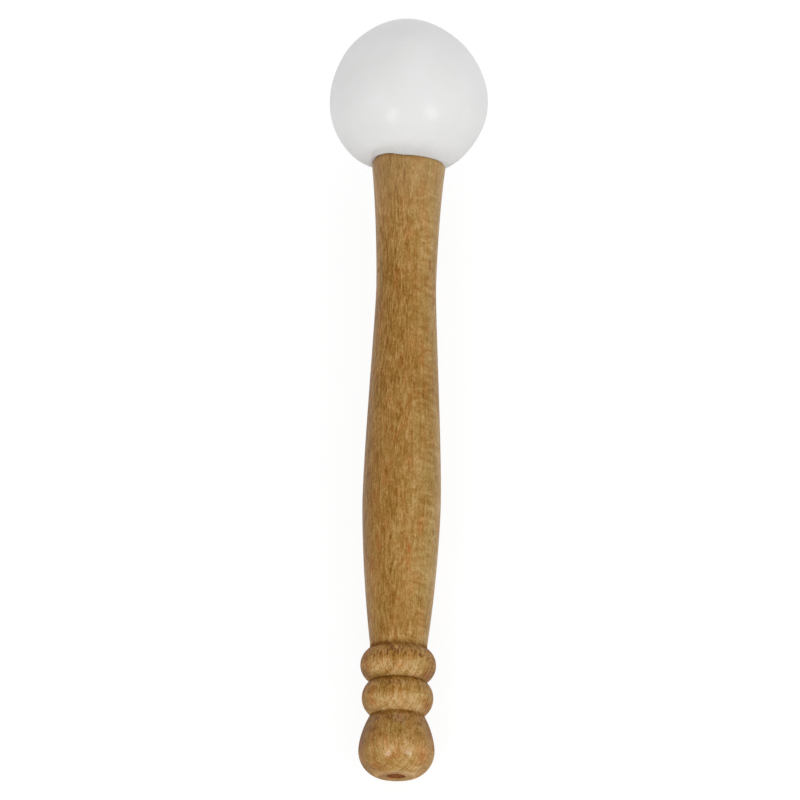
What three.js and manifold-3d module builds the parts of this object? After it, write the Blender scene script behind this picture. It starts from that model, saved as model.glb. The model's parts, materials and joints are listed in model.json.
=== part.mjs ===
// A mallet for striking and rubbing singing bowls: a white silicone rubber ball on a turned beech handle.
// It lies as it is put down on a table: along Y, ball towards +Y, touching at the ball and the pommel.
// Lengths are in millimetres. Places along the handle are counted from the end that carries the ball,
// and those of the beads and the pommel are set from its far end.

import * as THREE from "three";
import { mergeVertices } from "three/addons/utils/BufferGeometryUtils.js";
import Module from "manifold-3d";

const wasm = await Module();
wasm.setup();

// The rubber ball and the shallow recess that takes the end of the handle
const ballRadius = 25;
const crownRise = 0.8;
const crownSharpness = 10;
const seatLip = 0.9;

// The handle from end to end
const handleLength = 200;
const rimRadius = 11.6;
const rimRounding = 1.4;

// The slender neck and the swelling grip
const waistAlong = 38.3;
const waistRadius = 9.36;
const bellyBeforeBead = 52.4;
const bellyRadius = 12.3;

// The two beads, each turned as a round arc about its crest
const firstBeadFromEnd = 36.6;
const firstBeadRadius = 11.85;
const firstBeadArc = 6.2;
const secondBeadFromEnd = 25.7;
const secondBeadRadius = 11.2;
const secondBeadArc = 6.7;

// The pommel, its flat end and the mark that the lathe's centre leaves there
const pommelFromEnd = 8.3;
const pommelRadius = 11.9;
const endFlatRadius = 6.3;
const centreMarkRadius = 3.1;
const centreMarkDepth = 1.6;

// The fluted dowel that joins ball and handle
const dowelRadius = 5;
const dowelInHandle = 20;
const dowelBelowBallCentre = 1.4;
const dowelChamfer = 1.2;
const fluteCount = 14;
const fluteDepth = 0.4;

// Room between the pieces, and the point that the drill leaves in both bores
const jointGap = 0.3;
const dowelEndRoom = 1;
const drillPointAngle = THREE.MathUtils.degToRad(118);

// How each long curve leaves its first point and comes to its last, as shares of its length and height
const neckLeaveShares = { along: 0.46, out: 0.94 };
const neckArriveShares = { along: 0.01, out: 0 };
const swellLeaveShares = { along: 0.16, out: 0 };
const swellArriveShares = { along: 0.24, out: 0 };
const taperLeaveShares = { along: 0.02, out: 0 };
const taperArriveShares = { along: 0.53, out: 0.93 };
const pommelLeaveShares = { along: 0.34, out: 0.56 };
const pommelArriveShares = { along: 0.4, out: 0 };

// Where the grip and the pommel meet the beads, as shares of a quarter turn from a bead's crest
const ankleShare = 0.67;
const pommelStartShare = 0.61;

// Facets round the axis and along each stretch of an outline
const facetsRound = 48;
const ballFacets = 34;
const rimFacets = 4;
const neckFacets = 10;
const swellFacets = 12;
const taperFacets = 10;
const beadFacets = 10;
const pommelFacets = 8;
const pommelEndFacets = 9;
const facetsPerFlute = 4;

// Places along the handle that follow from those sizes
const firstBeadAlong = handleLength - firstBeadFromEnd;
const secondBeadAlong = handleLength - secondBeadFromEnd;
const pommelAlong = handleLength - pommelFromEnd;
const bellyAlong = firstBeadAlong - bellyBeforeBead;

// Heights along the axis, with the ball's centre at zero
const seatRadius = rimRadius + jointGap;
const seatEdgeHeight = -Math.sqrt(ballRadius ** 2 - seatRadius ** 2);
const seatHeight = seatEdgeHeight + seatLip;
const handleTop = seatHeight - jointGap;
const dowelTop = -dowelBelowBallCentre;
const dowelBottom = handleTop - dowelInHandle;

// Both bores, which the dowel fills but for a little room
const boreRadius = dowelRadius + jointGap;
const boreTop = dowelTop + dowelEndRoom;
const boreBottom = dowelBottom - dowelEndRoom;
const drillPoint = boreRadius / Math.tan(drillPointAngle / 2);

const fullTurn = 2 * Math.PI;
const quarterTurn = fullTurn / 4;

// A point of a turned outline: out from the axis, and up along it
const turned = (out, height) => new THREE.Vector2(out, height);

// A point of the handle's outline, placed from the end that carries the ball
const onHandle = (along, out) => turned(out, handleTop - along);

// A smooth stretch of outline between two points, steered by shares of the span between them
function sweep(from, to, leaveShares, arriveShares, facets) {
  const span = to.clone().sub(from);
  const leave = turned(from.x + span.x * leaveShares.out, from.y + span.y * leaveShares.along);
  const arrive = turned(to.x - span.x * arriveShares.out, to.y - span.y * arriveShares.along);
  return new THREE.CubicBezierCurve(from, leave, arrive, to).getPoints(facets);
}

// A circle of the outline whose widest place has the given distance out
const roundAbout = (along, crest, radius) => ({ centre: onHandle(along, crest - radius), radius });

// The point of a circle at an angle, where zero points straight out and positive towards the ball
function pointOn(circle, angle) {
  const ray = turned(Math.cos(angle), Math.sin(angle)).multiplyScalar(circle.radius);
  return circle.centre.clone().add(ray);
}

// The outer one of the two points in which neighbouring circles cross
function crossing(upper, lower) {
  const apart = lower.centre.clone().sub(upper.centre);
  const distance = apart.length();
  const reach = (distance ** 2 + upper.radius ** 2 - lower.radius ** 2) / (2 * distance);
  return pointOn(upper, apart.angle() + Math.acos(reach / upper.radius));
}

// The stretch of a circle from one of its points down to another
function arc(circle, from, to, facets) {
  const { centre, radius } = circle;
  const start = from.clone().sub(centre).angle();
  const end = to.clone().sub(centre).angle();
  return new THREE.EllipseCurve(centre.x, centre.y, radius, radius, start, end, true).getPoints(facets);
}

// Neighbouring stretches share a point, which an outline holds once
const withoutRepeats = (points) => points.filter((point, index) => !points[index - 1]?.equals(point));

// A body of revolution with one of its facets, not an edge, turned down to the table
const turnedBody = (outline) => new THREE.LatheGeometry(outline, facetsRound, Math.PI / facetsRound);

// The ball's skin: a sphere whose crown rises to a very slight point
function ballSkin(latitude) {
  const radius = ballRadius + crownRise * Math.max(Math.sin(latitude), 0) ** crownSharpness;
  return turned(radius * Math.cos(latitude), radius * Math.sin(latitude));
}

// From the bottom of the bore, round the recess for the handle and over the skin to the crown
function ballOutline() {
  const seatLatitude = Math.asin(seatEdgeHeight / ballRadius);
  const recess = [
    turned(0, boreTop + drillPoint),
    turned(boreRadius, boreTop),
    turned(boreRadius, seatHeight),
    turned(seatRadius, seatHeight),
  ];
  const skin = [];
  for (let facet = 0; facet < ballFacets; facet += 1) {
    skin.push(ballSkin(THREE.MathUtils.lerp(seatLatitude, quarterTurn, facet / ballFacets)));
  }
  return [...recess, ...skin, turned(0, ballRadius + crownRise)];
}

// The rounded edge of the end that carries the ball
function rim() {
  const edge = roundAbout(rimRounding, rimRadius, rimRounding);
  return arc(edge, pointOn(edge, quarterTurn), pointOn(edge, 0), rimFacets);
}

// Flared neck, waist, belly and the taper down to the first bead
function grip(ankle) {
  const waist = onHandle(waistAlong, waistRadius);
  const belly = onHandle(bellyAlong, bellyRadius);
  return [
    ...sweep(onHandle(rimRounding, rimRadius), waist, neckLeaveShares, neckArriveShares, neckFacets),
    ...sweep(waist, belly, swellLeaveShares, swellArriveShares, swellFacets),
    ...sweep(belly, ankle, taperLeaveShares, taperArriveShares, taperFacets),
  ];
}

// Two beads that meet in a sharp valley
function beads() {
  const first = roundAbout(firstBeadAlong, firstBeadRadius, firstBeadArc);
  const second = roundAbout(secondBeadAlong, secondBeadRadius, secondBeadArc);
  const valley = crossing(first, second);
  return [
    ...arc(first, pointOn(first, ankleShare * quarterTurn), valley, beadFacets),
    ...arc(second, valley, pointOn(second, -pommelStartShare * quarterTurn), beadFacets),
  ];
}

// The circle that rounds the pommel from its widest place to the edge of its flat end
function pommelRound() {
  const run = handleLength - pommelAlong;
  const drop = pommelRadius - endFlatRadius;
  return roundAbout(pommelAlong, pommelRadius, (run ** 2 + drop ** 2) / (2 * drop));
}

// A pear shape that swells from the second bead and is cut off flat
function pommel(start) {
  const widest = onHandle(pommelAlong, pommelRadius);
  const endEdge = onHandle(handleLength, endFlatRadius);
  return [
    ...sweep(start, widest, pommelLeaveShares, pommelArriveShares, pommelFacets),
    ...arc(pommelRound(), widest, endEdge, pommelEndFacets),
  ];
}

// From the bottom of the bore over the end face and down the whole side to the mark in the flat end
function handleOutline() {
  const bore = [
    turned(0, boreBottom - drillPoint),
    turned(boreRadius, boreBottom),
    turned(boreRadius, handleTop),
  ];
  const beadPoints = beads();
  const side = [...rim(), ...grip(beadPoints[0]), ...beadPoints, ...pommel(beadPoints.at(-1))];
  const markEdge = onHandle(handleLength, centreMarkRadius);
  const markBottom = onHandle(handleLength - centreMarkDepth, 0);
  return withoutRepeats([...bore, ...side, markEdge, markBottom]);
}

// The dowel's cross-section, with shallow flutes that let glue and air out of the bore
function flutedSection() {
  const count = fluteCount * facetsPerFlute;
  const points = [];
  for (let index = 0; index < count; index += 1) {
    const angle = (index / count) * fullTurn;
    const hollow = (1 - Math.cos(angle * fluteCount)) / 2;
    const radius = dowelRadius - fluteDepth * hollow;
    points.push(new THREE.Vector2(radius * Math.cos(angle), radius * Math.sin(angle)));
  }
  return new THREE.Shape(points);
}

// A closed geometry as a solid that can be cut
function asSolid(geometry) {
  const bare = geometry.clone();
  bare.deleteAttribute("normal");
  bare.deleteAttribute("uv");
  const merged = mergeVertices(bare);
  const vertProperties = new Float32Array(merged.attributes.position.array);
  const triVerts = new Uint32Array(merged.index.array);
  return new wasm.Manifold(new wasm.Mesh({ numProp: 3, vertProperties, triVerts }));
}

// A cut solid as a geometry again
function asGeometry(solid) {
  const { vertProperties, triVerts } = solid.getMesh();
  const geometry = new THREE.BufferGeometry();
  geometry.setAttribute("position", new THREE.BufferAttribute(vertProperties, 3));
  geometry.setIndex(new THREE.BufferAttribute(triVerts, 1));
  geometry.computeVertexNormals();
  return geometry;
}

// A straight fluted rod, cut to a turned envelope that chamfers both its ends
function flutedDowel() {
  const length = dowelTop - dowelBottom;
  const rod = new THREE.ExtrudeGeometry(flutedSection(), { depth: length, bevelEnabled: false });
  rod.rotateX(quarterTurn);
  rod.translate(0, dowelTop, 0);
  const endRadius = dowelRadius - dowelChamfer;
  const envelope = turnedBody([
    turned(0, dowelBottom),
    turned(endRadius, dowelBottom),
    turned(boreRadius, dowelBottom + boreRadius - endRadius),
    turned(boreRadius, dowelTop - boreRadius + endRadius),
    turned(endRadius, dowelTop),
    turned(0, dowelTop),
  ]);
  return asGeometry(asSolid(rod).intersect(asSolid(envelope)));
}

// Smooth white silicone rubber with a soft sheen
function siliconeRubber() {
  return new THREE.MeshStandardMaterial({ color: 0xe4e4e2, roughness: 0.42, metalness: 0 });
}

// Honey-brown beech under satin lacquer
function lacqueredBeech() {
  return new THREE.MeshStandardMaterial({ color: 0xa87b45, roughness: 0.5, metalness: 0 });
}

// Bare beech
function plainBeech() {
  return new THREE.MeshStandardMaterial({ color: 0xcdaa7d, roughness: 0.8, metalness: 0 });
}

function named(name, geometry, material) {
  const mesh = new THREE.Mesh(geometry, material);
  mesh.name = name;
  return mesh;
}

const ballHead = () => named("ball_head", turnedBody(ballOutline()), siliconeRubber());
const dowelPin = () => named("dowel_pin", flutedDowel(), plainBeech());
const handle = () => named("handle", turnedBody(handleOutline().reverse()), lacqueredBeech());

// The lean of the axis when ball and pommel both touch the table
function restingLean() {
  const end = pommelRound();
  const ballPastPommel = ballRadius - end.radius;
  return Math.asin(ballPastPommel / end.centre.length()) - Math.atan2(end.centre.x, -end.centre.y);
}

// Laid on its lowest facets, with the middle of its footprint at the origin
function laidDown(pieces) {
  const mallet = new THREE.Group();
  mallet.add(...pieces);
  mallet.rotation.x = restingLean();
  mallet.updateMatrixWorld(true);
  const bounds = new THREE.Box3().setFromObject(mallet, true);
  const middle = bounds.getCenter(new THREE.Vector3());
  mallet.position.set(-middle.x, -middle.y, -bounds.min.z);
  return mallet;
}

export default laidDown([ballHead(), dowelPin(), handle()]);
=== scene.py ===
# A mallet for striking and rubbing singing bowls, dressed as it looks: a white rubber ball on a turned
# beech handle. It lies along Y, ball towards +Y. Heights are measured along its axis from the ball's
# centre, and places along the handle from the end that carries the ball. Lengths are in metres, but in
# millimetres where they describe a finish.

import json
import math
from types import SimpleNamespace

import bpy
from mathutils import Euler, Matrix, Vector
from mathutils.geometry import interpolate_bezier


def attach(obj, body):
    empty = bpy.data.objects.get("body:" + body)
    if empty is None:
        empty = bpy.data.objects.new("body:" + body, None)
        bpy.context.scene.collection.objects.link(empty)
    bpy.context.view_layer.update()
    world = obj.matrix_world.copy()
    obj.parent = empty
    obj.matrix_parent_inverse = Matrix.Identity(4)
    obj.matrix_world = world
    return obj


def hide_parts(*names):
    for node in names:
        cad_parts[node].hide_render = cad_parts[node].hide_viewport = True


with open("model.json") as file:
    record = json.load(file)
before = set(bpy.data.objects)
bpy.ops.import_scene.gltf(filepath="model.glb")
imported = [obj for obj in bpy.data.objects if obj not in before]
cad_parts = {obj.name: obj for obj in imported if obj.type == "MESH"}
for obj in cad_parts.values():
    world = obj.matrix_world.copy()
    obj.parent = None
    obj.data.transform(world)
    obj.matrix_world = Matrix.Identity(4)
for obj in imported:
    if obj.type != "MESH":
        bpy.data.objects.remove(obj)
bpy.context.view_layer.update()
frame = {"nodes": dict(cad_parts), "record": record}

# The handle
# One piece of beech, turned between centres on a lathe: flared neck, waist, swelling grip, two beads
# and a pear-shaped pommel with a flat end. It is bored for the dowel, sanded, and coated with lacquer.

mm = 0.001
quarter_turn = math.radians(90)

handle_length = 200 * mm
rim_radius = 11.6 * mm
rim_rounding = 1.4 * mm
waist_along = 39.5 * mm
waist_radius = 9.45 * mm
belly_along = 111 * mm
belly_radius = 12.37 * mm
first_bead_along = 163.5 * mm
first_bead_radius = 11.92 * mm
first_bead_arc = 6.1 * mm
second_bead_along = 174.2 * mm
second_bead_radius = 11.27 * mm
second_bead_arc = 6.8 * mm
pommel_along = 191.4 * mm
pommel_radius = 12 * mm
end_flat_radius = 6.1 * mm
centre_mark_radius = 3.1 * mm
centre_mark_depth = 1.6 * mm
bore_radius = 5.3 * mm
bore_depth = 21 * mm
drill_point_depth = 3.2 * mm
handle_top = -21.387 * mm

# Where the taper meets the first bead and the second bead runs into the pommel, as angles towards the
# ball from the widest place of the bead
ankle_angle = 0.67 * quarter_turn
pommel_angle = -0.61 * quarter_turn

# Sanding took this much off the flat end, and so it lies this far along the handle
end_sanded = 0.34 * mm
end_along = handle_length - end_sanded

# How far the corners of the outline are eased by sanding and by the lacquer that runs into them
ankle_ease = 0.5 * mm
valley_ease = 0.5 * mm
end_ease = 0.55 * mm
mark_ease = 0.3 * mm

# The end that carries the ball stands a little way into it. It was cut slightly out of square and not
# quite flat, so it rises on the left and drops again at the corner. This fades out along the axis, and
# in the ball also away from it
rim_rise = 0.77 * mm
end_skew = math.radians(-1.5)
left_rise = 0.92 * mm
left_rise_from = -1 * mm
left_rise_to = -7.5 * mm
corner_drop_from = -9.6 * mm
corner_drop_to = -12 * mm
skew_reach = 9 * mm
skew_faded_radius = rim_radius + 4 * rim_rounding

# Points closer together than this become one, which closes the seam and the poles
closing_distance = 0.002 * mm
facets_round = 160

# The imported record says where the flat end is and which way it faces, and so where the axis runs
flat_end = frame["record"]["mounts"][0]
axis_end = Vector((0, flat_end["pos_m"][1], flat_end["pos_m"][2]))
towards_ball = -Vector(flat_end["axis"])
ball_centre = axis_end + towards_ball * (handle_length - handle_top)
axis_turn = Euler((math.atan2(towards_ball.z, towards_ball.y) - quarter_turn, 0, 0))

# What the turning goes by, as the kind and the value of each input of its tree
turning_inputs = {
    "Facets round": ("NodeSocketInt", facets_round),
    "Skew": ("NodeSocketFloat", end_skew),
    "Skew height": ("NodeSocketFloat", handle_top),
    "Skew reach": ("NodeSocketFloat", skew_reach),
    "Rim radius": ("NodeSocketFloat", rim_radius),
    "Skew faded radius": ("NodeSocketFloat", skew_faded_radius),
    "Left rise": ("NodeSocketFloat", left_rise),
    "Left rise from": ("NodeSocketFloat", left_rise_from),
    "Left rise to": ("NodeSocketFloat", left_rise_to),
    "Corner drop from": ("NodeSocketFloat", corner_drop_from),
    "Corner drop to": ("NodeSocketFloat", corner_drop_to),
    "Closing distance": ("NodeSocketFloat", closing_distance),
    "Place": ("NodeSocketVector", tuple(ball_centre)),
    "Turn": ("NodeSocketRotation", tuple(axis_turn)),
}


def turned(out, height):
    """A point of a turned outline: out from the axis, and up along it."""
    return Vector((out, 0, height))


def on_handle(along, out):
    """A point of the handle's outline, placed from the end that carries the ball."""
    return turned(out, handle_top - along)


def sweep(start, end, leave, arrive, count):
    """A smooth stretch of outline, steered by shares (along, out) of the span between its ends."""
    span = end - start
    first = start + turned(span.x * leave[1], span.z * leave[0])
    second = end - turned(span.x * arrive[1], span.z * arrive[0])
    return interpolate_bezier(start, first, second, end, count)


def round_about(along, crest, radius):
    """The centre and radius of a circle of the outline whose widest place has the given distance out."""
    return on_handle(along, crest - radius), radius


def point_on(circle, angle):
    """The point of a circle at an angle, where zero points straight out and positive to the ball."""
    centre, radius = circle
    return centre + turned(radius * math.cos(angle), radius * math.sin(angle))


def crossing(upper, lower):
    """The outer one of the two points in which neighbouring circles cross."""
    across = lower[0] - upper[0]
    reach = (across.length ** 2 + upper[1] ** 2 - lower[1] ** 2) / (2 * across.length)
    return point_on(upper, math.atan2(across.z, across.x) + math.acos(reach / upper[1]))


def arc(circle, start, end, count):
    """The stretch of a circle from one of its points down to another."""
    from_angle, to_angle = (math.atan2(p.z - circle[0].z, p.x - circle[0].x) for p in (start, end))
    step = (to_angle - from_angle) / (count - 1)
    return [point_on(circle, from_angle + step * index) for index in range(count)]


def straight(start, end, count):
    """A straight stretch of outline."""
    return [start.lerp(end, index / (count - 1)) for index in range(count)]


def eased(before, after, ease, count=5):
    """Two stretches of outline that meet in a corner, joined with the corner rounded off."""
    corner = before[-1]
    kept = [point for point in before if (point - corner).length > ease]
    going_on = [point for point in after if (point - corner).length > ease]
    leave, arrive = kept[-1].lerp(corner, 2 / 3), going_on[0].lerp(corner, 2 / 3)
    return kept + interpolate_bezier(kept[-1], leave, arrive, going_on[0], count)[1:-1] + going_on


def grip(ankle):
    """Flared neck, waist, belly and the taper down to the first bead."""
    neck_top = on_handle(rim_rounding - rim_rise, rim_radius)
    waist = on_handle(waist_along, waist_radius)
    belly = on_handle(belly_along, belly_radius)
    neck = sweep(neck_top, waist, leave=(0.44, 0.91), arrive=(0.03, 0), count=48)
    swell = sweep(waist, belly, leave=(0.14, 0), arrive=(0.26, 0), count=72)
    taper = sweep(belly, ankle, leave=(0.025, 0), arrive=(0.53, 0.93), count=48)
    return neck + swell[1:] + taper[1:]


def pommel(start, end_edge):
    """The pear from the second bead to its widest place, and the round from there to the flat end."""
    run, drop = end_along - pommel_along, pommel_radius - end_flat_radius
    circle = round_about(pommel_along, pommel_radius, (run ** 2 + drop ** 2) / (2 * drop))
    widest = on_handle(pommel_along, pommel_radius)
    pear = sweep(start, widest, leave=(0.28, 0.56), arrive=(0.28, 0), count=28)
    return pear + arc(circle, widest, end_edge, count=28)[1:]


def handle_outline():
    """From the drill's point over the end face and down the side to the mark in the flat end."""
    bore_edge = turned(bore_radius, handle_top + rim_rise)
    bore = [
        turned(0, handle_top - bore_depth - drill_point_depth),
        turned(bore_radius, handle_top - bore_depth),
        bore_edge,
    ]
    rim_circle = round_about(rim_rounding - rim_rise, rim_radius, rim_rounding)
    rim = arc(rim_circle, point_on(rim_circle, quarter_turn), point_on(rim_circle, 0), count=10)

    first = round_about(first_bead_along, first_bead_radius, first_bead_arc)
    second = round_about(second_bead_along, second_bead_radius, second_bead_arc)
    ankle, valley = point_on(first, ankle_angle), crossing(first, second)
    pommel_start = point_on(second, pommel_angle)
    end_edge = on_handle(end_along, end_flat_radius)
    mark_edge = on_handle(end_along, centre_mark_radius)
    mark_middle = on_handle(end_along - centre_mark_depth, 0)

    side = eased(grip(ankle), arc(first, ankle, valley, count=34), ankle_ease)
    side = eased(side, arc(second, valley, pommel_start, count=34), valley_ease)
    side = eased(side, pommel(pommel_start, end_edge), valley_ease)
    side = eased(side, straight(end_edge, mark_edge, count=10), end_ease, count=8)
    side = eased(side, straight(mark_edge, mark_middle, count=10), mark_ease)
    return bore + straight(bore_edge, rim[0], count=5)[1:] + rim[1:] + side[1:]


def put(tree, kind, inputs=None, **settings):
    """A node put into a tree, with its settings made and its inputs given a value or a link."""
    made = tree.nodes.new(kind)
    for name, value in settings.items():
        setattr(made, name, value)
    for key, value in (inputs or {}).items():
        if isinstance(value, bpy.types.NodeSocket):
            tree.links.new(value, made.inputs[key])
        else:
            made.inputs[key].default_value = value
    return made


def figure(tree, operation, *values):
    """The result of a sum, product or other operation on numbers."""
    return put(tree, "ShaderNodeMath", dict(enumerate(values)), operation=operation).outputs[0]


def vector_figure(tree, operation, *values, output="Vector"):
    """The result of an operation on vectors."""
    return put(tree, "ShaderNodeVectorMath", dict(enumerate(values)), operation=operation).outputs[output]


def total(tree, *values):
    """The sum of several numbers."""
    result = values[0]
    for value in values[1:]:
        result = figure(tree, "ADD", result, value)
    return result


def times(tree, *values):
    """The product of several numbers."""
    result = values[0]
    for value in values[1:]:
        result = figure(tree, "MULTIPLY", result, value)
    return result


def apart(tree, value, other):
    """How far two numbers lie apart."""
    return figure(tree, "ABSOLUTE", figure(tree, "SUBTRACT", value, other))


def graded(tree, value, low, high, at_low=0.0, at_high=1.0):
    """A number that passes smoothly between two levels while what it follows goes from low to high."""
    inputs = {0: value, 1: low, 2: high, 3: at_low, 4: at_high}
    return put(tree, "ShaderNodeMapRange", inputs, interpolation_type="SMOOTHSTEP").outputs[0]


def parts_of(tree, vector):
    """The three numbers of a vector."""
    return put(tree, "ShaderNodeSeparateXYZ", {0: vector}).outputs


def made_of(tree, first, second, third=0):
    """A vector of three numbers."""
    return put(tree, "ShaderNodeCombineXYZ", {0: first, 1: second, 2: third}).outputs[0]


def turning():
    """Geometry nodes that turn an outline about its axis and lay the closed body in its place.

    The outline's points hold how far they are out from the axis, how far their ring is off centre
    to the side, and their height.
    """
    tree = bpy.data.node_groups.new("turning", "GeometryNodeTree")
    tree.interface.new_socket("Outline", in_out="INPUT", socket_type="NodeSocketGeometry")
    for name, (kind, _) in turning_inputs.items():
        tree.interface.new_socket(name, in_out="INPUT", socket_type=kind)
    tree.interface.new_socket("Finish", in_out="INPUT", socket_type="NodeSocketMaterial")
    tree.interface.new_socket("Turned body", in_out="OUTPUT", socket_type="NodeSocketGeometry")
    given = tree.nodes.new("NodeGroupInput").outputs

    # A flat sheet of side one, with a row for each point of the outline, gets wrapped round the axis
    rings = put(tree, "GeometryNodeAttributeDomainSize", {0: given["Outline"]}).outputs["Point Count"]
    columns = figure(tree, "ADD", given["Facets round"], 1)
    sides = {"Size X": 1, "Size Y": 1, "Vertices X": columns, "Vertices Y": rings}
    sheet = put(tree, "GeometryNodeMeshGrid", sides).outputs["Mesh"]
    position = tree.nodes.new("GeometryNodeInputPosition").outputs[0]
    across, up, _ = parts_of(tree, position)
    last_ring = figure(tree, "SUBTRACT", rings, 1)
    ring = figure(tree, "ROUND", figure(tree, "MULTIPLY", figure(tree, "ADD", up, 0.5), last_ring))
    sample = {0: given["Outline"], 1: position, 2: ring}
    point = put(tree, "GeometryNodeSampleIndex", sample, data_type="FLOAT_VECTOR").outputs[0]
    out, off_centre, height = parts_of(tree, point)
    angle = figure(tree, "MULTIPLY", across, math.tau)
    to_side = figure(tree, "MULTIPLY", out, figure(tree, "COSINE", angle))
    to_back = figure(tree, "MULTIPLY", out, figure(tree, "SINE", angle))

    # The end of the handle is uneven, and the ball closes round it
    skewed = figure(tree, "MULTIPLY", to_side, figure(tree, "TANGENT", given["Skew"]))
    rise = graded(tree, to_side, given["Left rise from"], given["Left rise to"], 0, given["Left rise"])
    corner = graded(tree, to_side, given["Corner drop from"], given["Corner drop to"], 1, 0)
    near_end = graded(tree, apart(tree, height, given["Skew height"]), 0, given["Skew reach"], 1, 0)
    near_wood = graded(tree, out, given["Rim radius"], given["Skew faded radius"], 1, 0)
    fading = times(tree, near_end, near_wood)
    uneven = times(tree, figure(tree, "ADD", skewed, times(tree, rise, corner)), fading)
    off_to_side = figure(tree, "ADD", to_side, off_centre)
    place = made_of(tree, off_to_side, to_back, figure(tree, "ADD", height, uneven))
    body = put(tree, "GeometryNodeSetPosition", {"Geometry": sheet, "Position": place}).outputs[0]
    closing = {"Geometry": body, "Distance": given["Closing distance"]}
    body = put(tree, "GeometryNodeMergeByDistance", closing).outputs[0]
    body = put(tree, "GeometryNodeSetShadeSmooth", {"Geometry": body}).outputs[0]

    # The finish asks which way the surface faces, from -1 to the pommel to 1 to the ball
    normal = tree.nodes.new("GeometryNodeInputNormal").outputs[0]
    facing = vector_figure(tree, "DOT_PRODUCT", normal, (0, 0, 1), output="Value")
    stored = {"Geometry": body, "Name": "facing_the_ball", "Value": facing}
    body = put(tree, "GeometryNodeStoreNamedAttribute", stored, data_type="FLOAT").outputs[0]
    laid = {"Geometry": body, "Translation": given["Place"], "Rotation": given["Turn"]}
    body = put(tree, "GeometryNodeTransform", laid).outputs[0]
    body = put(tree, "GeometryNodeRealizeInstances", {"Geometry": body}).outputs[0]
    finished = {"Geometry": body, "Material": given["Finish"]}
    body = put(tree, "GeometryNodeSetMaterial", finished).outputs[0]
    tree.links.new(body, tree.nodes.new("NodeGroupOutput").inputs[0])
    return tree


def turned_piece(name, tree, outline, finish):
    """A plain closed mesh turned from its outline, whose points run so that its faces point outwards."""
    flat = bpy.data.meshes.new(name + "_outline")
    flat.from_pydata(outline, [(index, index + 1) for index in range(len(outline) - 1)], [])
    blank = bpy.data.objects.new(name + "_outline", flat)
    bpy.context.scene.collection.objects.link(blank)
    modifier = blank.modifiers.new("turning", "NODES")
    modifier.node_group = tree
    values = {label: value for label, (_, value) in turning_inputs.items()}
    values["Finish"] = finish
    for socket in tree.interface.items_tree:
        if socket.name in values:
            modifier[socket.identifier] = values[socket.name]
    evaluated = blank.evaluated_get(bpy.context.evaluated_depsgraph_get())
    mesh = bpy.data.meshes.new_from_object(evaluated)
    mesh.name = name
    bpy.data.objects.remove(blank)
    bpy.data.meshes.remove(flat)
    piece = bpy.data.objects.new(name, mesh)
    bpy.context.scene.collection.objects.link(piece)
    return piece


def new_finish(name):
    """An empty material, its tree and the end of that tree, ready for nodes."""
    finish = bpy.data.materials.new(name)
    finish.use_nodes = True
    tree = finish.node_tree
    tree.nodes.clear()
    return finish, tree, tree.nodes.new("ShaderNodeOutputMaterial").inputs["Surface"]


def framed(tree, places, centre, turn, unit):
    """Places as they are in a frame with its own centre, turn and unit for each direction."""
    inputs = {"Vector": places, "Location": centre, "Rotation": turn, "Scale": unit}
    return put(tree, "ShaderNodeMapping", inputs, vector_type="TEXTURE").outputs[0]


def in_millimetres(tree, turn):
    """Places in millimetres from the ball's centre, in directions turned from the scene's own."""
    places = tree.nodes.new("ShaderNodeTexCoord").outputs["Object"]
    return framed(tree, places, ball_centre, turn, (mm, mm, mm))


def length_of(tree, vector):
    """The length of a vector."""
    return vector_figure(tree, "LENGTH", vector, output="Value")


def scaled(tree, places, sizes, shift=0):
    """Places measured in multiples of the given sizes, one for each direction, and shifted."""
    shares = tuple(1 / size for size in sizes)
    return vector_figure(tree, "MULTIPLY_ADD", places, shares, (shift, shift, shift))


def cloud(tree, places, sizes, detail=2, roughness=0.5, shift=0, output=0):
    """Soft random variation about a middle of one half, as large as the given sizes."""
    where = scaled(tree, places, sizes, shift)
    inputs = {"Vector": where, "Scale": 1, "Detail": detail, "Roughness": roughness}
    return put(tree, "ShaderNodeTexNoise", inputs).outputs[output]


def flecks(tree, places, sizes, shift=0):
    """Scattered cells of the given sizes."""
    return put(tree, "ShaderNodeTexVoronoi", {"Vector": scaled(tree, places, sizes, shift), "Scale": 1})


def swing(tree, pattern, amount):
    """A pattern about a middle of one half, turned into a swing about zero."""
    return figure(tree, "MULTIPLY_ADD", pattern, amount, -amount / 2)


def mixed(tree, share, first, second, blend="MIX"):
    """Two colours mixed by a share."""
    inputs = {"Factor_Float": share, "A_Color": first, "B_Color": second}
    made = put(tree, "ShaderNodeMix", data_type="RGBA", blend_type=blend, clamp_factor=True)
    for socket in made.inputs:
        value = inputs.get(socket.identifier)
        if isinstance(value, bpy.types.NodeSocket):
            tree.links.new(value, socket)
        elif value is not None:
            socket.default_value = value
    return next(socket for socket in made.outputs if socket.identifier == "Result_Color")


def ramp(tree, value, colours):
    """A colour from an even row of colours, picked by a number from zero to one."""
    made = put(tree, "ShaderNodeValToRGB", {0: value})
    stops = made.color_ramp.elements
    stops.remove(stops[1])
    for index, colour in enumerate(colours):
        stop = stops.new(index / (len(colours) - 1)) if index else stops[0]
        stop.color = colour
    return made.outputs[0]


def bumped(tree, relief, strength, depth):
    """The surface's direction, tilted by a fine relief."""
    inputs = {"Strength": strength, "Distance": depth, "Height": relief}
    return put(tree, "ShaderNodeBump", inputs).outputs[0]


def edge_on(tree):
    """From zero where the surface faces the eye to one along the outline."""
    return put(tree, "ShaderNodeLayerWeight", {"Blend": 0.5}).outputs["Facing"]


def height_of(along):
    """The height, in millimetres, of a place so many millimetres along the handle."""
    return handle_top / mm - along


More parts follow.
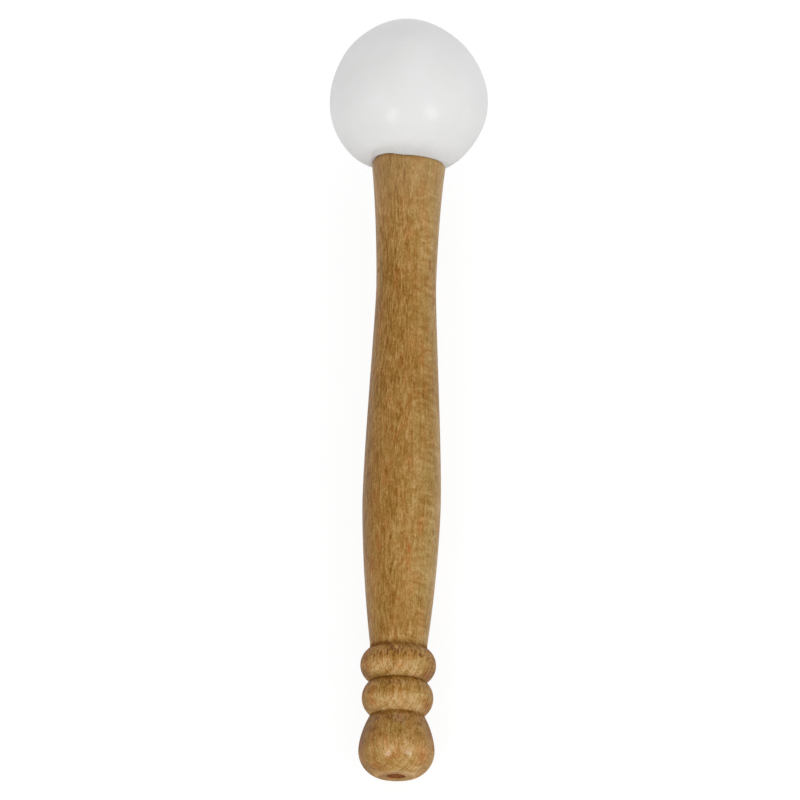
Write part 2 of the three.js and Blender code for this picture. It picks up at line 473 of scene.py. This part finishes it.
# The wood's own directions in the blank. Rays run to the upper left as the mallet lies, and rings lie
# across them about a distant pith
rays_left, rays_up = 0.75, 0.66
ray_direction = math.atan2(-rays_up, -rays_left)
grain_turn = (axis_turn.to_matrix() @ Matrix.Rotation(ray_direction, 3, "Z")).to_euler()
pith_distance = 75

# How far fibres wander off their line along the rays, across them and along the handle
fibre_wander = (2.4, 2.4, 0)

# Heights at which the beads, the pear and the flat end begin, each with the height at which they have
# fully begun
beads_begin = (-174, -182)
pear_begins = (-201, -205)
end_begins = (-219, -220)

# The colours of the wood from its darkest tone, 0, to its palest, 1, and its plain tone
wood_colours = (
    (0.150, 0.053, 0.000, 1),
    (0.238, 0.102, 0.005, 1),
    (0.331, 0.166, 0.032, 1),
    (0.438, 0.252, 0.080, 1),
    (0.558, 0.366, 0.164, 1),
)
plain_tone = 0.49

# What the wood's colour is multiplied by where it is redder, greener or, on the right, yellower
redder = (1.04, 0.87, 0.74, 1)
greener = (0.97, 1.035, 1.0, 1)
yellower = (0.97, 1.045, 1.06, 1)

# Beside the ball the stain is thin, for it was wiped off before the ball was glued on
thin_stain_colour = (0.42, 0.27, 0.125, 1)
thin_stain_share = 0.27

# Stain and dust settled in the grooves, together with painted shade: millimetres along the handle, spread
# and strength
grooves = ((158.3, 1.5, 1.15), (169.2, 1.1, 1), (180.4, 1.5, 0.9))
groove_dirt_and_shade_colour = (0.12, 0.045, 0.004, 1)
groove_dirt_and_shade_share = 0.45

# The first bead is a little darker about its crest, so many millimetres along the handle
dark_crest_along = 165.5

# The lathe's centre crushed and darkened the wood in its mark
crushed = (0.48, 0.22, 0.0, 1)
crushed_share = 1.2

# The lacquer's refraction, and how strongly it reflects
lacquer_ior = 1.5
lacquer_specular = 0.23
grain_relief = 0.04 * mm

# Single marks on the mallet's upper side: millimetres along the handle and to the right, length and
# width, lean of the ball's end to the right in degrees, strength, and how red
marks_on_top = (
    (126.6, 1.9, 9.6, 1.1, -19, 0.5, 0.9),
    (128.0, 2.9, 3.6, 1.7, -8, 0.75, 1.0),
    (89.0, -3.5, 3.8, 0.8, 0, 0.9, 0.8),
    (74.8, 3.1, 3.4, 1.0, 0, 0.6, 0.4),
    (97.2, -8.1, 3.4, 0.8, 0, 0.7, 0.6),
    (33.9, 7.3, 5.2, 1.0, 0, 0.7, 0.4),
    (5.6, -1.3, 4.6, 0.8, 0, 0.6, 0.1),
    (9.9, -4.0, 3.0, 0.5, -4, 0.7, 0.1),
    (47.0, -0.6, 11.0, 4.0, 0, 0.25, 0.9),
    (25.0, -1.0, 9.0, 6.0, 0, 0.2, 0.8),
    (162.0, -6.6, 2.2, 0.5, 10, 0.7, 0.3),
    (162.4, -5.5, 2.2, 0.6, 8, 1.0, 0.2),
    (162.2, -4.4, 1.8, 0.5, 4, 0.7, 0.3),
    (162.2, -3.5, 3.0, 0.6, 3, 1.0, 0.2),
    (160.9, -2.0, 2.8, 0.6, -14, 0.9, 0.2),
    (162.2, -1.2, 1.8, 0.4, 6, 0.7, 0.3),
    (162.0, -0.2, 3.0, 0.8, 0, 1.0, 0.1),
    (161.2, 1.2, 2.6, 0.6, 10, 0.9, 0.2),
    (162.4, 2.2, 2.0, 0.6, -8, 0.8, 0.2),
    (161.6, 5.3, 1.8, 1.2, 0, 1.0, 0.3),
    (162.5, 6.9, 1.8, 1.0, -14, 1.0, 0.2),
    (162.2, 8.0, 1.4, 0.5, 20, 0.8, 0.3),
    (163.2, 9.3, 1.6, 0.6, 30, 0.7, 0.3),
    (162.8, -7.6, 2.0, 0.9, 12, 0.6, 0.8),
    (167.9, 8.9, 2.4, 2.6, 0, 0.75, 1.0),
    (171.4, -3.6, 2.0, 0.6, 6, 0.7, 0.3),
    (171.6, -2.6, 2.6, 0.6, 0, 0.8, 0.2),
    (171.8, 0.6, 2.8, 0.6, -14, 0.8, 0.2),
    (171.2, 2.2, 2.0, 0.5, -4, 0.6, 0.3),
    (177.5, 9.2, 4.0, 2.4, 0, 0.7, 1.0),
    (182.4, -6.4, 2.4, 1.8, 10, 0.7, 0.7),
    (182.8, 0.2, 2.4, 0.7, -20, 0.7, 0.4),
    (183.2, -1.9, 2.0, 0.6, 8, 0.6, 0.4),
    (192.0, -10.8, 9.0, 2.2, 0, 0.5, 0.9),
    (194.5, 9.0, 6.5, 3.6, 0, 0.5, 1.0),
    (197.6, -6.6, 2.2, 3.2, 0, 0.6, 1.0),
    (191.0, 5.2, 1.8, 0.7, 0, 0.8, 0.2),
)

# The marks lie on a round of this radius and reach this deep. Their colour runs from a dark pore's to a
# red fleck's, by which the wood's is multiplied, and their edge is ragged by this share of their size
marked_radius = 11
mark_depth = 6
dark_pore = Vector((0.46, 0.27, 0.02))
red_fleck = Vector((0.94, 0.67, 0.38))
mark_raggedness = 0.35


def wood_places(tree):
    """Where a point of the handle lies in the grain and on the turned shape, and which way it faces."""
    wood = SimpleNamespace()
    wood.grain = in_millimetres(tree, grain_turn)
    wander = cloud(tree, wood.grain, (7, 7, 16), output="Color")
    wander = vector_figure(tree, "SUBTRACT", wander, (0.5, 0.5, 0.5))
    wander = vector_figure(tree, "MULTIPLY", wander, fibre_wander)
    wood.fibre = vector_figure(tree, "ADD", wood.grain, wander)
    wood.radial, wood.tangential, wood.height = parts_of(tree, wood.fibre)
    wood.off_axis = length_of(tree, made_of(tree, wood.radial, wood.tangential))
    wood.turned = in_millimetres(tree, axis_turn)
    wood.to_side, _, _ = parts_of(tree, wood.turned)

    wood.on_beads = graded(tree, wood.height, *beads_begin)
    wood.on_pear = graded(tree, wood.height, *pear_begins)
    wood.on_end = graded(tree, wood.height, *end_begins)
    wood.before_beads = graded(tree, wood.height, *reversed(beads_begin))
    wood.before_pear = graded(tree, wood.height, *reversed(pear_begins))

    # Where the surface meets the rays end on, and where it runs alongside them
    end_on = figure(tree, "DIVIDE", figure(tree, "ABSOLUTE", wood.radial), wood.off_axis)
    wood.end_on = graded(tree, end_on, 0.1, 0.9, at_low=0.2)
    wood.alongside = figure(tree, "SUBTRACT", 1, wood.end_on)
    wood.facing_ball = put(tree, "ShaderNodeAttribute", attribute_name="facing_the_ball").outputs["Fac"]
    wood.end_grain = figure(tree, "ABSOLUTE", wood.facing_ball)
    return wood


def rays(tree, wood, sizes, shift):
    """Rays: thin sheets that run from the pith outwards, a few fibres thick and some millimetres tall."""
    sheets = flecks(tree, wood.fibre, sizes, shift)
    strength, _, _ = parts_of(tree, sheets.outputs["Color"])
    within = graded(tree, sheets.outputs["Distance"], 0.55, 0.1)
    return times(tree, within, graded(tree, strength, 0.1, 0.9))


def add_patterns(tree, wood):
    """The patterns of the grain, with sizes along the rays, across them and along the handle."""
    wood.broad_rays = rays(tree, wood, (10, 1.0, 3.8), shift=3.1)
    wood.fine_rays = rays(tree, wood, (6, 0.62, 2.4), shift=8.4)
    bend = figure(tree, "DIVIDE", times(tree, wood.tangential, wood.tangential), 2 * pith_distance)
    ring_place = made_of(tree, figure(tree, "ADD", wood.radial, bend), 0, wood.height)
    wood.rings = cloud(tree, ring_place, (0.9, 1, 40), detail=3, roughness=0.6)
    wood.streaks = cloud(tree, wood.fibre, (2.2, 0.55, 3.4), detail=3, roughness=0.62)
    wood.threads = cloud(tree, wood.fibre, (0.3, 0.3, 5), roughness=0.6)
    wood.patches = cloud(tree, wood.grain, (7, 7, 18))
    wood.speckle = cloud(tree, wood.grain, (0.45, 0.45, 0.8), roughness=0.6)

    # Ripples that rays leave where they lie in the surface, and strokes of pores in the cut end grain
    wood.ripples = cloud(tree, wood.fibre, (4.5, 1.2, 1.5), shift=5.3)
    wood.strokes = cloud(tree, wood.fibre, (0.6, 0.6, 2.2), shift=9.1)


def painted_light_and_shade_tones(tree, wood):
    """Painted light and shade: painted shade on the beads and the pear where they face the ball, away
    from the lamps, and a painted sheen of the lamps where the wood faces the pommel, a little more on the
    bead crests and most of all on the pear."""
    painted_shade_facing_ball = times(tree, graded(tree, wood.facing_ball, 0.2, 0.75, at_high=-0.24), wood.on_beads)
    painted_sheen_facing_pommel = graded(tree, wood.facing_ball, 0.1, -0.3, at_high=0.26)
    painted_sheen_on_crests = times(tree, wood.on_beads, graded(tree, wood.facing_ball, 0.3, -0.05, at_high=0.05))
    pear = times(tree, graded(tree, wood.facing_ball, 0.35, 0.05, at_high=0.1), wood.on_pear)
    return painted_shade_facing_ball, total(tree, painted_sheen_facing_pommel, painted_sheen_on_crests, pear)


def grain_tones(tree, wood):
    """How far each pattern of the grain darkens or pales the wood."""
    quieter = graded(tree, wood.height, -95, -130, at_low=1.06, at_high=0.8)
    softened = figure(tree, "MULTIPLY_ADD", wood.end_grain, -0.5, 1)
    calmer_pear = graded(tree, wood.on_pear, 0, 1, at_low=1, at_high=0.45)
    cut_rings = figure(tree, "MULTIPLY_ADD", times(tree, wood.end_grain, calmer_pear), 4.5, 1)
    livelier_beads, plainer_pear = times(tree, wood.on_beads, 0.45), times(tree, wood.on_pear, -0.25)
    speckled = total(tree, 1, livelier_beads, plainer_pear)
    torn = graded(tree, wood.strokes, 0.54, 0.68)
    torn_side = graded(tree, wood.facing_ball, -0.05, 0.3)
    return (
        times(tree, swing(tree, wood.streaks, 1.5), wood.end_on, softened, quieter),
        times(tree, swing(tree, wood.ripples, 1.0), wood.alongside),
        swing(tree, wood.threads, 0.5),
        times(tree, swing(tree, wood.rings, 0.45), cut_rings),
        times(tree, swing(tree, wood.patches, 0.45), quieter),
        times(tree, swing(tree, wood.speckle, 0.8), speckled),
        times(tree, torn, torn_side, wood.on_beads, -0.36),
        times(tree, wood.broad_rays, wood.end_on, -0.18),
        times(tree, wood.fine_rays, wood.end_on, -0.13),
        times(tree, wood.broad_rays, wood.alongside, 0.12),
    )


def shape_tones(tree, wood):
    """Tones by place on the turned shape: painted light to the right, painted shade on the sides and
    along the outline, a painted highlight on the flat end's arris, and plain tone changes along the beads
    and the end.
    """
    # Painted light: paler to the right
    painted_light_to_right = graded(tree, wood.to_side, -10, 10, at_low=-0.1, at_high=0.07)
    # Painted shade on the pear's sides
    painted_shade_pear_sides = graded(tree, figure(tree, "ABSOLUTE", wood.to_side), 4, 12, at_high=-0.28)
    # Painted shade on the beads' sides where they face the pommel
    right_side = graded(tree, wood.to_side, 6, 10, at_high=-0.42)
    left_side = graded(tree, wood.to_side, -7, -11, at_high=-0.22)
    painted_shade_bead_sides = total(tree, right_side, left_side)
    facing_pommel = graded(tree, wood.facing_ball, 0.1, -0.5)
    # Painted shade along the outline of the grip and the beads
    painted_shade_left_edge = graded(tree, wood.to_side, -8, -11.5, at_high=-0.13)
    painted_shade_right_edge = graded(tree, wood.to_side, 9, 12, at_high=-0.18)
    from_crest = apart(tree, wood.height, height_of(dark_crest_along))
    # Painted highlight on the arris of the flat end
    from_arris = apart(tree, wood.off_axis, end_flat_radius / mm)
    painted_highlight_arris = graded(tree, from_arris, 0.1, 0.8, at_low=0.1, at_high=0)
    flat_ring = graded(tree, wood.off_axis, 5.8, 5.0, at_high=-0.16)
    return (
        painted_light_to_right,
        times(tree, painted_shade_pear_sides, wood.on_pear),
        times(tree, painted_shade_bead_sides, facing_pommel, wood.on_beads, wood.before_pear),
        graded(tree, wood.height, -155, -168, at_high=-0.1),
        times(tree, wood.on_beads, 0.1),
        times(tree, painted_shade_left_edge, wood.before_pear),
        times(tree, painted_shade_right_edge, wood.on_beads, wood.before_pear),
        graded(tree, wood.height, -213, -219, at_high=-0.28),
        graded(tree, from_crest, 2, 5, at_low=-0.07, at_high=0),
        times(tree, painted_highlight_arris, wood.on_end),
        times(tree, flat_ring, wood.on_end),
    )


def tinted(tree, wood, colour):
    """The wood's colour, redder and greener in places, and yellower on the right of the grip."""
    broad = cloud(tree, wood.grain, (4, 4, 10), shift=2.7)
    fine = cloud(tree, wood.grain, (1.4, 1.4, 3.5), shift=6.1)
    redness = total(tree, broad, swing(tree, fine, 0.6))
    colour = mixed(tree, graded(tree, redness, 0.5, 0.75), colour, redder, "MULTIPLY")
    colour = mixed(tree, graded(tree, redness, 0.5, 0.25), colour, greener, "MULTIPLY")
    on_right = times(tree, graded(tree, wood.to_side, 2, 9), wood.before_beads)
    return mixed(tree, on_right, colour, yellower, "MULTIPLY")


def marked(tree, wood, colour):
    """The wood's colour with the single marks in it."""
    for along, side, length, width, leaning, strength, red in marks_on_top:
        middle = (side, -math.sqrt(marked_radius ** 2 - side ** 2), height_of(along))
        reach = (width / 2, mark_depth, length / 2)
        inside = framed(tree, wood.turned, middle, (0, math.radians(leaning), 0), reach)
        from_middle = total(tree, length_of(tree, inside), swing(tree, wood.speckle, mark_raggedness))
        share = graded(tree, from_middle, 1.2, 0.5, at_high=strength)
        colour = mixed(tree, share, colour, (*dark_pore.lerp(red_fleck, red), 1), "MULTIPLY")
    return colour


def dirt_and_shade_in_grooves(tree, wood):
    """How much stain, dust and painted shade lies in the grooves: most at the bottom of each groove."""
    dirt_and_shade_amount = 0
    for along, spread, strength in grooves:
        from_bottom = apart(tree, wood.height, height_of(along))
        closeness = graded(tree, from_bottom, 0, spread, at_low=strength, at_high=0)
        dirt_and_shade_amount = figure(tree, "ADD", dirt_and_shade_amount, closeness)
    return dirt_and_shade_amount


def wood_relief(tree, wood):
    """Sunken rays, and streaks and speckle that stand out a little, all of it fainter on the pear."""
    sunken_rays = times(tree, wood.broad_rays, wood.end_on, -0.5)
    relief = total(tree, sunken_rays, swing(tree, wood.streaks, 0.8), swing(tree, wood.speckle, 0.3))
    fainter_on_pear = graded(tree, wood.on_pear, 0, 1, at_low=1, at_high=0.4)
    return bumped(tree, times(tree, relief, fainter_on_pear), strength=0.2, depth=grain_relief)


def lacquer_roughness(tree, wood, matt):
    """Satin, shinier on the pear, and duller on the beads, at the outline and where it is matt."""
    edge = edge_on(tree)
    return total(
        tree,
        graded(tree, wood.streaks, 0.35, 0.65, at_low=0.3, at_high=0.22),
        times(tree, wood.on_beads, 0.12),
        times(tree, wood.on_pear, -0.24),
        graded(tree, edge, 0.2, 1, at_high=0.2),
        times(tree, wood.on_pear, graded(tree, edge, 0.2, 1, at_high=0.32)),
        times(tree, wood.broad_rays, 0.08),
        times(tree, matt, 0.45),
    )


def lacquered_beech():
    """Honey-brown beech with short ray flecks, soft growth rings and dark pores, under satin lacquer."""
    finish, tree, shown = new_finish("lacquered_beech")
    wood = wood_places(tree)
    add_patterns(tree, wood)
    # The tones include painted light and shade on the turned shape, besides the grain
    tones = painted_light_and_shade_tones(tree, wood) + grain_tones(tree, wood) + shape_tones(tree, wood)
    colour = ramp(tree, total(tree, plain_tone, *tones), wood_colours)
    colour = marked(tree, wood, tinted(tree, wood, colour))

    wiped = graded(tree, wood.height, -48, -24, at_high=thin_stain_share)
    colour = mixed(tree, wiped, colour, thin_stain_colour)
    ragged = figure(tree, "MULTIPLY_ADD", cloud(tree, wood.grain, (0.7, 0.7, 1.5), detail=3), 1.2, 0.25)
    # Dark stain and dust, with painted shade, in the grooves
    dirt_and_shade_amount = dirt_and_shade_in_grooves(tree, wood)
    colour = mixed(tree, times(tree, dirt_and_shade_amount, ragged, groove_dirt_and_shade_share), colour, groove_dirt_and_shade_colour)
    in_mark = graded(tree, wood.off_axis, 3.5, 2.5)
    in_mark = times(tree, in_mark, wood.on_end, ragged, crushed_share)
    colour = mixed(tree, in_mark, colour, crushed, "MULTIPLY")

    surface = {
        "Base Color": colour,
        "Roughness": lacquer_roughness(tree, wood, matt=figure(tree, "MAXIMUM", dirt_and_shade_amount, in_mark)),
        "Normal": wood_relief(tree, wood),
        "IOR": lacquer_ior,
        "Specular IOR Level": lacquer_specular,
    }
    tree.links.new(put(tree, "ShaderNodeBsdfPrincipled", surface).outputs[0], shown)
    return finish


turning_tree = turning()
handle = turned_piece("turned_handle", turning_tree, handle_outline()[::-1], lacquered_beech())
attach(handle, "root")
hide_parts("handle")

# The dowel
# A fluted beech dowel, bought ready made: ball and handle are bored for it, and it is glued into both.
# It is wholly hidden, so the solid stays as it is and takes a finish of bare wood.

pale_beech = (0.62, 0.42, 0.22, 1)
dark_beech = (0.52, 0.33, 0.16, 1)
fleck_colour = (0.36, 0.2, 0.09, 1)
dowel_relief = 0.05 * mm


def plain_beech():
    """Bare planed beech: pale, with fine streaks along the dowel and short darker ray flecks."""
    finish, tree, shown = new_finish("plain_beech")
    grain = in_millimetres(tree, axis_turn)
    streaks = cloud(tree, grain, (0.4, 0.4, 10), detail=3, roughness=0.6)
    fleck = graded(tree, flecks(tree, grain, (5, 0.5, 1.8)).outputs["Distance"], 0.4, 0.1, at_high=0.5)
    colour = mixed(tree, graded(tree, streaks, 0.3, 0.7), pale_beech, dark_beech)
    surface = {
        "Base Color": mixed(tree, fleck, colour, fleck_colour),
        "Roughness": graded(tree, streaks, 0.2, 0.8, at_low=0.65, at_high=0.85),
        "Normal": bumped(tree, streaks, strength=0.4, depth=dowel_relief),
    }
    tree.links.new(put(tree, "ShaderNodeBsdfPrincipled", surface).outputs[0], shown)
    return finish


dowel = frame["nodes"]["dowel_pin"]
dowel.data.materials.clear()
dowel.data.materials.append(plain_beech())

# The ball head
# Moulded in one piece from white silicone rubber, with a bore for the dowel and a shallow recess that
# closes round the end of the handle. It is glued on. Its crown rises to a very slight point.

seat_gap = 0.02 * mm
lip_ease = 0.08 * mm
ball_bore_top = -0.4 * mm

# The ball isn't quite round. Latitude in degrees, distance of the skin from the centre in millimetres,
# and how far the ring of skin there lies to the left
ball_shape = (
    (-84, 23.78, 0),
    (-66, 23.9, 0.5),
    (-48, 24.72, 0.6),
    (-30, 24.93, 0.68),
    (-12, 25.1, 0.46),
    (6, 24.95, 0.37),
    (24, 24.77, 0.53),
    (42, 25.0, 0.82),
    (60, 25.33, 1.02),
    (76, 25.95, 1.15),
    (90, 26.2, 1.2),
)

# The rubber's two whites, its scuffs, and the grey of painted shade round the wood
rubber_white = (0.78, 0.78, 0.775, 1)
rubber_paler = (0.80, 0.80, 0.797, 1)
scuffed = (0.74, 0.74, 0.735, 1)
painted_shade_grey = (0.56, 0.56, 0.555, 1)

# The rubber's refraction, and how strongly it reflects
rubber_ior = 1.41
rubber_specular = 0.165
rubber_relief = 0.05 * mm


def skin_point(degrees, distance, drift):
    """A point of the ball's outline."""
    latitude = math.radians(degrees)
    return Vector((distance * math.cos(latitude), -drift, distance * math.sin(latitude))) * mm


def smooth_through(points, count):
    """A smooth line through points, all but the first and the last span of them. At each point it runs
    the way that the points before and after it lie."""
    line = []
    for before, start, end, after in zip(points, points[1:], points[2:], points[3:]):
        leave, arrive = start + (end - before) / 6, end - (after - start) / 6
        line += interpolate_bezier(start, leave, arrive, end, count)[:-1]
    return line + [points[-2]]


def ball_outline():
    """From the bottom of the bore, round the recess for the handle and over the skin to the crown."""
    points = [skin_point(*row) for row in ball_shape]
    beyond_crown = points[-2].copy()
    beyond_crown.x *= -1
    skin = smooth_through(points + [beyond_crown], count=19)
    rim_centre = on_handle(rim_rounding - rim_rise, rim_radius - rim_rounding)
    seat_radius = rim_rounding + seat_gap
    seat_circle = rim_centre, seat_radius

    def clear_of_wood(point):
        return point.x > rim_centre.x and (point - rim_centre).length > seat_radius

    free = next(index for index, point in enumerate(skin) if clear_of_wood(point))
    to_edge = skin[free] - rim_centre
    seat_edge = point_on(seat_circle, math.atan2(to_edge.z, to_edge.x))
    seat_start = point_on(seat_circle, quarter_turn)
    seat = arc(seat_circle, seat_start, seat_edge, count=14)
    bore_edge = turned(bore_radius, seat_start.z)
    bore = [turned(0, ball_bore_top + drill_point_depth), turned(bore_radius, ball_bore_top), bore_edge]
    face = straight(bore_edge, seat_start, count=6)[1:-1]
    return bore + face + eased(seat, [seat_edge] + skin[free + 1:], lip_ease, count=6)


def painted_shade_near_wood(tree, places):
    """How much painted shade greys the wood's half of the ball, most of it close round the wood."""
    to_side, to_back, up = parts_of(tree, places)
    off_axis = length_of(tree, made_of(tree, to_side, to_back))
    close = graded(tree, off_axis, 18.5, 12.5, at_high=0.6)
    towards_eye = graded(tree, apart(tree, to_side, 1), 2, 11, at_low=1, at_high=0.5)
    further_out = graded(tree, off_axis, 24.4, 18.5, at_high=0.24)
    painted_shade_amount = total(tree, times(tree, close, towards_eye), further_out)
    return times(tree, painted_shade_amount, graded(tree, up, 0, -7))


def silicone_rubber():
    """White silicone rubber, moulded smooth: a soft sheen, barely uneven, with a trace of handling."""
    finish, tree, shown = new_finish("silicone_rubber")
    places = in_millimetres(tree, axis_turn)
    broad = cloud(tree, places, (14, 14, 14))
    fine = cloud(tree, places, (1.3, 1.3, 1.3), detail=3, roughness=0.6)
    colour = mixed(tree, graded(tree, broad, 0.3, 0.7), rubber_white, rubber_paler)
    colour = mixed(tree, graded(tree, fine, 0.6, 0.8, at_high=0.3), colour, scuffed)
    # Painted shade: grey close round the wood, and fainter over the rest of the wood's half
    painted_shade_share = times(tree, painted_shade_near_wood(tree, places), graded(tree, fine, 0.2, 0.6, at_low=0.75))
    sheen = graded(tree, broad, 0.3, 0.7, at_low=0.18, at_high=0.21)
    surface = {
        "Base Color": mixed(tree, painted_shade_share, colour, painted_shade_grey),
        "Roughness": total(tree, sheen, graded(tree, edge_on(tree), 0, 1, at_high=0.4)),
        "Normal": bumped(tree, fine, strength=0.12, depth=rubber_relief),
        "IOR": rubber_ior,
        "Specular IOR Level": rubber_specular,
    }
    tree.links.new(put(tree, "ShaderNodeBsdfPrincipled", surface).outputs[0], shown)
    return finish


ball = turned_piece("rubber_ball", turning_tree, ball_outline(), silicone_rubber())
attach(ball, "root")
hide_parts("ball_head")

# The camera
# It stands over the mallet, a little towards the pommel, so that the flat end shows and the grooves
# show as arches. It is rolled slightly, so the ball's end of the axis leans to the right.

millimetres_per_pixel = 0.3153
picture_width = 800
camera_distance = 8.0
camera_sight = 100
off_square = math.radians(15.5)
camera_roll = math.radians(1.21)
aim_below_ball = 98.29 * mm
pixels_left_of_axis = 3.8
aim_left_of_axis = pixels_left_of_axis * millimetres_per_pixel * mm

camera_data = bpy.data.cameras.new("camera")
camera = bpy.data.objects.new("camera", camera_data)
bpy.context.scene.collection.objects.link(camera)
bpy.context.scene.camera = camera
lean = math.atan2(towards_ball.z, towards_ball.y)
looking = Matrix.Rotation(lean + off_square, 3, "X") @ Matrix.Rotation(camera_roll, 3, "Z")
aim = ball_centre - towards_ball * aim_below_ball - looking @ Vector((aim_left_of_axis, 0, 0))
camera.location = aim + looking @ Vector((0, 0, camera_distance))
camera.rotation_euler = looking.to_euler()
picture_across = picture_width * millimetres_per_pixel * mm
camera_data.lens = camera_data.sensor_width * camera_distance / picture_across
camera_data.clip_end = camera_sight

# The floor and the light
# A plain white floor that keeps a faint shadow, even light from all round, a broad lamp low beyond the
# ball, and two soft lamps above, towards the pommel, whose reflections show on the ball and the pommel.

floor_size = 40
white = (1, 1, 1, 1)

# The floor as it lights the mallet, and as it is seen: its own glow, and a shadow that stays faint
floor_colour = (0.92, 0.92, 0.92, 1)
shadow_colour = (0.16, 0.16, 0.16, 1)
floor_glow = 0.88

# The even light on the mallet, and each lamp's direction as the camera sees it (to the right, up and
# towards the camera), width, height and watts
even_light = 0.63
lamp_distance = 2.0
lamps = (
    ("left_lamp", (-0.39, -0.37, 0.862), 0.46, 0.74, 8.8),
    ("right_lamp", (0.56, -0.325, 0.78), 0.46, 0.74, 9.6),
    ("lamp_beyond_ball", (0.15, 0.95, 0.15), 1.25, 1.1, 5.6),
)


def seen_directly(tree):
    """One for what is seen straight, in a gloss or through something clear, and otherwise zero."""
    path = tree.nodes.new("ShaderNodeLightPath").outputs
    direct = figure(tree, "MAXIMUM", path["Is Camera Ray"], path["Is Glossy Ray"])
    return figure(tree, "MAXIMUM", direct, path["Is Transmission Ray"])


def white_floor():
    """A white floor that is as bright as the surroundings where it is seen."""
    finish, tree, shown = new_finish("floor_paint")
    lit = put(tree, "ShaderNodeBsdfDiffuse", {"Color": floor_colour}).outputs[0]
    shadowed = put(tree, "ShaderNodeBsdfDiffuse", {"Color": shadow_colour}).outputs[0]
    glow = put(tree, "ShaderNodeEmission", {"Color": white, "Strength": floor_glow}).outputs[0]
    seen = put(tree, "ShaderNodeAddShader", {0: shadowed, 1: glow}).outputs[0]
    surface = put(tree, "ShaderNodeMixShader", {0: seen_directly(tree), 1: lit, 2: seen})
    tree.links.new(surface.outputs[0], shown)
    return finish


bpy.ops.mesh.primitive_plane_add(size=floor_size)
floor = bpy.context.object
floor.name = "floor"
floor.data.materials.append(white_floor())

surroundings = bpy.data.worlds.new("surroundings")
surroundings.use_nodes = True
surroundings.node_tree.nodes.clear()
bpy.context.scene.world = surroundings
sky = surroundings.node_tree
sky_strength = figure(sky, "MAXIMUM", even_light, seen_directly(sky))
sky_light = put(sky, "ShaderNodeBackground", {"Color": white, "Strength": sky_strength}).outputs[0]
sky.links.new(sky_light, sky.nodes.new("ShaderNodeOutputWorld").inputs["Surface"])

for name, direction, width, height, watts in lamps:
    lamp_data = bpy.data.lights.new(name, "AREA")
    lamp_data.shape = "RECTANGLE"
    lamp_data.size, lamp_data.size_y = width, height
    lamp_data.energy = watts
    lamp = bpy.data.objects.new(name, lamp_data)
    bpy.context.scene.collection.objects.link(lamp)
    towards_lamp = looking @ Vector(direction).normalized()
    lamp.location = towards_lamp * lamp_distance
    lamp.rotation_euler = towards_lamp.to_track_quat("Z", "Y").to_euler()
    lamp.visible_camera = False

bpy.context.scene.view_settings.view_transform = "Standard"
